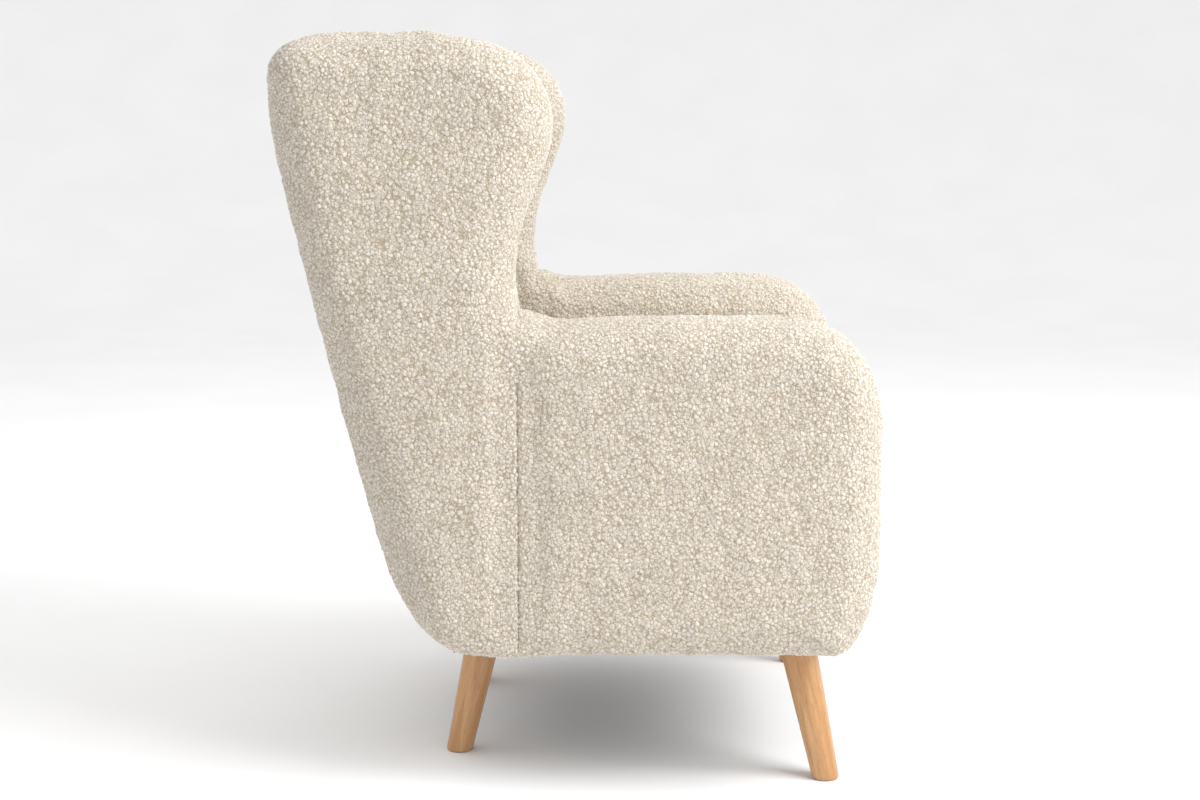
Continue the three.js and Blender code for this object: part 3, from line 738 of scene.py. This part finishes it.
class CHAIR_OT_wings(bpy.types.Operator):
    """Make both wing pads: the side of the back with its rolled wing and rounded rear corner"""

    bl_idname = "chair.wings"
    bl_label = "Wing pads"

    def execute(self, context):
        form = context.scene.chair_form
        seam = seam_plane()
        low, high = corners("wing_pad_left")
        crest = corners("arm_pad_left")[1][2]
        outline = side_outline("wing_pad_left", (0.55, 0.55))
        at_seam, below_crest = 0.01, 0.02
        beside_arm = (outline[:, 0] < seam + at_seam) & (outline[:, 1] < crest - below_crest)
        outline[:, 0] -= form.seam_lap * beside_arm
        height = outline[:, 1]
        top, base, front, rear = facing(outline)
        change = 0.060
        over_arm = eased(crest - change, crest + change, height)
        front_roll = form.seam_roll + (form.wing_roll - form.seam_roll) * over_arm
        base = base * (height < crest)
        above_hip, below_top = 0.1, 0.05
        up = eased(low[2] + above_hip, high[2] - below_top, height)
        rear_roll = form.corner_low + (form.corner_high - form.corner_low) * up
        outer = front * front_roll + top * form.top_roll + base * form.base_roll + rear * rear_roll
        face = face_at(high[2] - below_top)
        in_front, behind = 0.05, 0.01
        before = 1.0 - eased(face - in_front, face + behind, outline[:, 0])
        inner = (
            front * form.wing_roll * over_arm
            + top * form.top_roll * before
            + form.seam_roll
        )
        passes = 12
        outer = softened(outer[:, None], passes)[:, 0]
        inner = softened(inner[:, None], passes)[:, 0]
        outer_crown, puff = 0.003, 0.005
        held_to, free_from = seam + 0.006, seam + 0.090
        free_above, inner_face = crest + 0.10, low[0] + 0.004
        surface = stuffed(
            "wing", slab(outline, high[0], low[0], outer, inner, outer_crown), puff,
            hold=lambda points: np.maximum(
                (1.0 - eased(held_to, free_from, points[:, 1]))
                * (1.0 - eased(crest, free_above, points[:, 2])),
                points[:, 0] < inner_face,
            ),
        )
        for name, side in SIDES:
            covered(f"wing_{name}", surface, boucle(), CHAIR, [f"wing_pad_{name}"], side=side)
        return {"FINISHED"}


def back_depth():
    """The level distance from the outside back to the inside back's face."""
    low, _ = corners("inside_back_pad")
    heights, depths = rear_curve()
    return np.interp(low[2], heights, depths) - low[1]


def face_at(height):
    """How far back the inside back's face is at a height."""
    heights, depths = rear_curve()
    return np.interp(height, heights, depths) - back_depth()


class CHAIR_OT_back(bpy.types.Operator):
    """Make the inside back pad, with its lumbar swell and rolled top, and the outside back panel"""

    bl_idname = "chair.back"
    bl_label = "Back"

    def execute(self, context):
        self.inside(context.scene.chair_form)
        self.outside()
        return {"FINISHED"}

    def inside(self, form):
        """The front is the back's curve moved forward, swollen by lumbar (1 - x^2) and by a bell over
        the height, and it turns back over the top by a quarter circle."""
        low, high = corners("inside_back_pad")
        heights, depths = rear_curve()
        half = high[0]
        rows = np.linspace(low[2], high[2], 110)
        bell_height, bell_reach = 0.22, 0.19
        even_swell, side_dip, side_from = 0.008, 0.016, 0.90
        top_crown, rear_gap, rear_inset, thinnest = 0.004, 0.026, 0.045, 0.02
        puff, held_side = 0.006, 0.006
        across = np.linspace(-1.0, 1.0, 90)[None, :]
        level = rows[:, None]
        roll = 0.032
        over = np.clip((level - (high[2] - roll)) / roll, 0.0, 1.0)
        back = np.interp(np.minimum(level, high[2] - roll), heights, depths) - back_depth()
        bell = np.exp(-(((level - low[2] - bell_height) / bell_reach) ** 2))
        swell = (1.0 - across**2) * (even_swell + form.lumbar * bell)
        front_y = back - swell * (1.0 - over) + roll * (1.0 - np.sqrt(1.0 - over**2))
        front_y = front_y + side_dip * eased(side_from, 1.0, np.abs(across)) * (1.0 - over)
        x = np.broadcast_to(across * half, front_y.shape)
        z = np.broadcast_to(level, front_y.shape)
        crown = top_crown * (1.0 - across**2) * np.ones_like(level) * over
        front = np.stack([x, front_y, z + crown], -1)
        rear_y = np.interp(np.minimum(level, 0.99 * high[2]), heights, depths) - rear_gap
        rear_y = np.minimum(np.broadcast_to(rear_y, x.shape), depths.max() - rear_inset)
        rear_y = np.maximum(rear_y, front_y + thinnest)
        rear = np.stack([x, rear_y, z + crown], -1)
        surface = stuffed(
            "back", shell(front, rear), puff,
            hold=lambda points: (np.abs(points[:, 0]) > half - held_side).astype(float),
        )
        covered("back_inside", surface, boucle(), CHAIR, ["inside_back_pad"])

    def outside(self):
        """A panel whose rear follows the back's curve and turns in under the hip."""
        low, high = corners("outside_back_panel")
        heights, depths = rear_curve()
        half = high[0]
        top_gap, crown, thickness = 0.001, 0.003, 0.021
        puff, held_side = 0.004, 0.010
        rows = np.linspace(low[2], high[2] - top_gap, 130)
        across = np.linspace(-1.0, 1.0, 90)[None, :]
        level = rows[:, None]
        rear_y = np.interp(level, heights, depths) + crown * (1.0 - across**2)
        x = np.broadcast_to(across * half, rear_y.shape)
        z = np.broadcast_to(level, rear_y.shape)
        rear = np.stack([x, rear_y, z], -1)
        front = np.stack([x, rear_y - thickness, z], -1)
        surface = stuffed(
            "panel", shell(front, rear), puff,
            hold=lambda points: (np.abs(points[:, 0]) > half - held_side).astype(float),
        )
        covered("back_outside", surface, boucle(), CHAIR, ["outside_back_panel"])


class CHAIR_OT_border(bpy.types.Operator):
    """Make the stuffed strip under the seat cushion"""

    bl_idname = "chair.border"
    bl_label = "Front border"

    def execute(self, context):
        low, high = corners("front_border")
        outline = side_outline("front_border", (0.6, 0.5), count=240)
        edge_roll, puff, held_side = 0.006, 0.004, 0.008
        roll = np.full(len(outline), edge_roll)
        surface = stuffed(
            "border", slab(outline, high[0], low[0], roll, roll), puff,
            hold=lambda points: (np.abs(points[:, 0]) > high[0] - held_side).astype(float),
        )
        covered("border_front", surface, boucle(), CHAIR, ["front_border"])
        return {"FINISHED"}


class CHAIR_OT_seat(bpy.types.Operator):
    """Make the loose seat cushion, with sewn edges and a crowned top"""

    bl_idname = "chair.seat"
    bl_label = "Seat cushion"

    def execute(self, context):
        form = context.scene.chair_form
        low, high = corners("seat_cushion")
        drawn_in = 0.007
        half = high[0] - drawn_in
        rear_gap = 0.010
        front, rear = low[1] + drawn_in, face_at(low[2]) - rear_gap
        waist, corner, step = 0.006, 0.035, 0.0042
        edge_roll, puff, seam_inset = 0.024, 0.012, 0.014
        lift, floor_gap, back_gap = 0.002, 0.0015, 0.0065
        seam_reach, seam_depth = 0.0028, 0.0032
        side = np.linspace(-1.0, 1.0, 60)[:-1]
        pull = waist * (1.0 - side**2)
        middle, reach = (front + rear) / 2.0, (rear - front) / 2.0
        square = np.concatenate([
            np.column_stack([side * half, front + pull]),
            np.column_stack([half - pull, middle + side * reach]),
            np.column_stack([-side * half, rear - pull]),
            np.column_stack([-half + pull, middle - side * reach]),
        ])
        outline = softened(resampled(square, 480), int((corner / step) ** 2))
        roll = np.full(len(outline), edge_roll)
        bottom = low[2] + lift
        top = high[2] - form.cushion_crown
        points, faces = slab(outline, top, bottom, roll, roll, form.cushion_crown)
        surface = points[:, [1, 2, 0]], faces
        points, faces = stuffed("seat", surface, puff, passes=3)
        points[:, 0] = np.clip(points[:, 0], -high[0], high[0])
        points[:, 1] = np.clip(points[:, 1], low[1], None)
        points[:, 2] = np.maximum(points[:, 2], low[2] + floor_gap)
        points[:, 1] = np.minimum(points[:, 1], face_at(points[:, 2]) - back_gap)
        seams = (top - seam_inset, bottom + seam_inset)

        def groove(points, normals):
            upright = 1.0 - np.abs(normals[:, 2]) ** 4
            near = sum(np.exp(-(((points[:, 2] - seam) / seam_reach) ** 2)) for seam in seams)
            return seam_depth * near * upright

        covered(
            "cushion_seat", (points, faces), boucle(), CUSHION, ["seat_cushion"], groove=groove
        )
        self.zip()
        return {"FINISHED"}

    def zip(self):
        """The zip: a flat tape with a coil down its middle, (1 + cos) high along and across it."""
        low, high = corners("cushion_zip")
        along = np.linspace(low[0], high[0], 700)[None, :]
        across = np.linspace(-1.0, 1.0, 25)[:, None]
        level = (low[2] + high[2]) / 2.0 + across * (high[2] - low[2]) / 2.0
        coil_share, tooth, coil_height = 0.28, 0.0022, 0.0005
        setback, front_skin, rear_skin, weave = 0.0048, 0.0006, 0.0004, 0.0009
        bead = np.clip(1.0 - (across / coil_share) ** 2, 0.0, 1.0)
        coil = bead * (1.0 + np.cos(along * 2.0 * np.pi / tooth))
        out = face_at(level) - setback + coil_height * coil
        x = np.broadcast_to(along, out.shape)
        z = np.broadcast_to(level, out.shape)
        tape = shell(
            np.stack([x, out - front_skin, z], -1)[:, ::-1], np.stack([x, out + rear_skin, z], -1)[:, ::-1]
        )
        piece = new_object("zip_coil", *tape)
        dark, light = (0.45, 0.41, 0.34), (0.72, 0.67, 0.58)
        piece.data.materials.append(
            material("zip_tape", woven_material, "zip_tape", dark, light, weave)
        )
        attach(piece, CUSHION)
        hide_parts("cushion_zip")


class CHAIR_OT_deck(bpy.types.Operator):
    """Make the deck under the cushion and the dust cover under the frame"""

    bl_idname = "chair.deck"
    bl_label = "Deck and dust cover"

    def execute(self, context):
        low, high = corners("deck_pad")
        inset, rear_inset, sunk, fall, puff, weave = 0.001, 0.012, 0.003, 0.004, 0.002, 0.0012
        x = np.linspace(low[0] + inset, high[0] - inset, 60)[None, :]
        y = np.linspace(low[1] + inset, high[1] - rear_inset, 60)[:, None]
        edge = (1.0 - (x / high[0]) ** 8) * np.ones_like(y)
        lift = high[2] - sunk - fall * (1.0 - edge)
        flat_x = np.broadcast_to(x, lift.shape)
        flat_y = np.broadcast_to(y, lift.shape)
        upper = np.stack([flat_x, flat_y, lift], -1)
        lower = np.stack([flat_x, flat_y, np.full_like(lift, low[2] + inset)], -1)
        deck = new_object("deck", *stuffed("deck", shell(lower, upper), puff))
        dark, light = (0.60, 0.54, 0.44), (0.80, 0.74, 0.63)
        deck.data.materials.append(
            material("deck_cloth", woven_material, "deck_cloth", dark, light, weave)
        )
        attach(deck, CHAIR)
        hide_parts("deck_pad")
        self.dust_cover()
        return {"FINISHED"}

    def dust_cover(self):
        """A thin stretched cloth that sags by a hair between its tacked edges."""
        low, high = corners("dust_cover")
        u = np.linspace(-1.0, 1.0, 90)[None, :]
        v = np.linspace(-1.0, 1.0, 80)[:, None]
        most_sag, clearance, thickness, weave = 0.0010, 0.0011, 0.0004, 0.0016
        sag = most_sag * (1.0 - u**2) * (1.0 - v**2)
        x = np.broadcast_to(high[0] * u, sag.shape)
        y = np.broadcast_to((low[1] + high[1]) / 2.0 + v * (high[1] - low[1]) / 2.0, sag.shape)
        level = low[2] + clearance - sag
        lower = np.stack([x, y, level], -1)
        upper = np.stack([x, y, level + thickness], -1)
        cover = new_object("dust_cloth", *shell(lower, upper))
        dark, light = (0.012, 0.012, 0.013), (0.05, 0.05, 0.052)
        cover.data.materials.append(
            material("black_weave", woven_material, "black_weave", dark, light, weave)
        )
        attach(cover, CHAIR)
        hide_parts("dust_cover")


class CHAIR_OT_legs(bpy.types.Operator):
    """Make the four legs: level rings round a leaning axis, tapered, with a rounded foot"""

    bl_idname = "chair.legs"
    bl_label = "Legs"

    def execute(self, context):
        for end in ("front", "rear"):
            for name, _ in SIDES:
                self.leg(context.scene.chair_wood, f"{end}_leg_{name}")
        return {"FINISHED"}

    def leg(self, wood, node):
        """One leg, from the middles and half sizes of the CAD leg's two ends."""
        points, _ = node_arrays(node)
        low, high = corners(node)
        foot = points[points[:, 2] < low[2] + LEVEL]
        head = points[points[:, 2] > high[2] - LEVEL]
        foot_low, foot_high = foot.min(axis=0), foot.max(axis=0)
        head_low, head_high = head.min(axis=0), head.max(axis=0)
        start, end = (foot_low + foot_high) / 2.0, (head_low + head_high) / 2.0
        start_reach, end_reach = (foot_high - foot_low) / 2.0, (head_high - head_low) / 2.0
        level = np.concatenate([
            np.linspace(0.0, wood.foot_round, 7), np.linspace(wood.foot_round, high[2], 60)[1:]
        ])
        share = (level / high[2])[:, None]
        centre = start + (end - start) * share
        reach = start_reach + (end_reach - start_reach) * share
        rounding = np.clip(1.0 - level / wood.foot_round, 0.0, 1.0)[:, None]
        reach = reach - wood.foot_round * (1.0 - np.sqrt(1.0 - rounding**2))
        angle = np.linspace(0.0, 2.0 * np.pi, 72, endpoint=False)[None, :]
        x = centre[:, :1] + reach[:, :1] * np.cos(angle)
        y = centre[:, 1:2] + reach[:, 1:2] * np.sin(angle)
        z = np.broadcast_to(level[:, None], x.shape)
        rings = np.stack([x, y, z], -1)
        ends = np.array([[start[0], start[1], 0.0], [end[0], end[1], high[2]]])
        faces = capped_faces(len(level), angle.size)
        piece = new_object(f"{node}_wood", np.vstack([rings.reshape(-1, 3), ends]), faces)
        lean = end - start
        axis = Vector((lean[0], lean[1], high[2])).to_track_quat("Z", "Y").to_euler()
        piece.data.materials.append(leg_material(f"{node}_wood", axis))
        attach(piece, CHAIR)
        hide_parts(node)


class CHAIR_OT_frame(bpy.types.Operator):
    """Give the timber, springs, straps, plates and bolts their materials"""

    bl_idname = "chair.frame"
    bl_label = "Frame materials"

    def execute(self, context):
        slots = {part["node"]: part["material_slot"] for part in frame["record"]["subparts"]}
        pine = ((0.70, 0.52, 0.30), (0.52, 0.34, 0.16))
        makers = {
            "pine": ("sawn_pine", sawn_material, "sawn_pine", *pine, (1.0, 0.12, 1.0)),
            "plywood": ("sawn_plywood", sawn_material, "sawn_plywood", *pine, (1.0, 1.0, 0.12)),
            "jute": ("webbing", woven_material, "webbing", (0.13, 0.085, 0.05), (0.34, 0.25, 0.15), 0.003),
            "steel": (
                "zinc", woven_material, "zinc", (0.36, 0.37, 0.39), (0.55, 0.56, 0.58), 0.0006, 0.9, 0.38
            ),
        }
        for node, made in frame["nodes"].items():
            if slots.get(node) in makers:
                name, *make = makers[slots[node]]
                made.data.materials.clear()
                made.data.materials.append(material(name, *make))
        return {"FINISHED"}


class CHAIR_OT_stage(bpy.types.Operator):
    """Make the camera, the soft lights and the pale floor"""

    bl_idname = "chair.stage"
    bl_label = "Stage"

    def execute(self, context):
        scene = context.scene
        stage = scene.chair_stage
        camera = bpy.data.objects.new("camera", bpy.data.cameras.new("camera"))
        camera.location = stage.eye
        camera.rotation_euler = Euler((math.pi / 2.0 - stage.pitch, 0.0, stage.yaw - math.pi / 2.0))
        camera.data.lens = stage.lens
        camera.data.sensor_width = 36.0
        scene.collection.objects.link(camera)
        scene.camera = camera
        self.light("key", (-1.3, -2.4, 2.6), (0.0, 0.0, 0.55), 2.2, stage.key)
        self.light("top", (0.6, 0.8, 3.6), (0.0, 0.0, 0.4), 3.6, stage.top)
        world = bpy.data.worlds.new("studio")
        world.use_nodes = True
        sky = world.node_tree.nodes["Background"]
        sky.inputs["Color"].default_value = (1.0, 1.0, 1.0, 1.0)
        sky.inputs["Strength"].default_value = stage.sky
        scene.world = world
        scene.view_settings.view_transform = "Standard"
        self.floor()
        return {"FINISHED"}

    def light(self, name, place, aim, size, power):
        """A square soft light at a place, turned to a point."""
        lamp = bpy.data.lights.new(name, "AREA")
        lamp.size = size
        lamp.energy = power
        made = bpy.data.objects.new(name, lamp)
        made.location = place
        made.rotation_euler = (Vector(aim) - Vector(place)).to_track_quat("-Z", "Y").to_euler()
        bpy.context.scene.collection.objects.link(made)

    def floor(self):
        """A level square of floor, rising by a share of the square of the distance past its rim."""
        reach, rim, rise, thickness = 9.0, 5.0, 0.12, 0.02
        u = np.linspace(-reach, reach, 120)
        x, y = np.meshgrid(u, u)
        away = np.maximum(np.hypot(x, y) - rim, 0.0)
        top = np.stack([x, y, rise * away**2], -1)
        ground = new_object("floor", *shell(top, top - np.array([0.0, 0.0, thickness])))
        made, _, shader, add = new_material("floor")
        place = add("TexCoord").outputs["Object"]
        mottle = add("TexNoise", [("Vector", place)], Scale=3.0, Detail=2.0)
        tint = ramp(add, mottle.outputs["Fac"], [(0.3, 0.93), (0.7, 0.95)])
        made.node_tree.links.new(tint, shader.inputs["Base Color"])
        shader.inputs["Roughness"].default_value = 0.8
        ground.data.materials.append(made)


OPERATORS = (
    CHAIR_OT_stage, CHAIR_OT_arms, CHAIR_OT_wings, CHAIR_OT_back, CHAIR_OT_border,
    CHAIR_OT_seat, CHAIR_OT_deck, CHAIR_OT_legs, CHAIR_OT_frame,
)
GROUPS = (
    ("chair_form", ChairForm),
    ("chair_fabric", ChairFabric),
    ("chair_wood", ChairWood),
    ("chair_stage", ChairStage),
)


class CHAIR_PT_panel(bpy.types.Panel):
    """The chair's pieces and their sizes and colours."""

    bl_idname = "CHAIR_PT_panel"
    bl_label = "Wing Armchair"
    bl_space_type = "VIEW_3D"
    bl_region_type = "UI"
    bl_category = "Armchair"

    def draw(self, context):
        for operator in OPERATORS:
            self.layout.operator(operator.bl_idname)
        for name, group in GROUPS:
            column = self.layout.column(heading=group.__doc__)
            for key in group.__annotations__:
                column.prop(getattr(context.scene, name), key)


def register():
    """Add the settings, the operators and the panel."""
    for name, group in GROUPS:
        bpy.utils.register_class(group)
        setattr(bpy.types.Scene, name, PointerProperty(type=group))
    for shown in (*OPERATORS, CHAIR_PT_panel):
        bpy.utils.register_class(shown)


def unregister():
    """Take them away again, in reverse."""
    for shown in (CHAIR_PT_panel, *reversed(OPERATORS)):
        bpy.utils.unregister_class(shown)
    for name, group in reversed(GROUPS):
        delattr(bpy.types.Scene, name)
        bpy.utils.unregister_class(group)


def main():
    """Make every piece and write the CAD box and the visual model's box."""
    register()
    for operator in OPERATORS:
        kind, name = operator.bl_idname.split(".")
        getattr(getattr(bpy.ops, kind), name)()


if __name__ == "__main__":
    main()
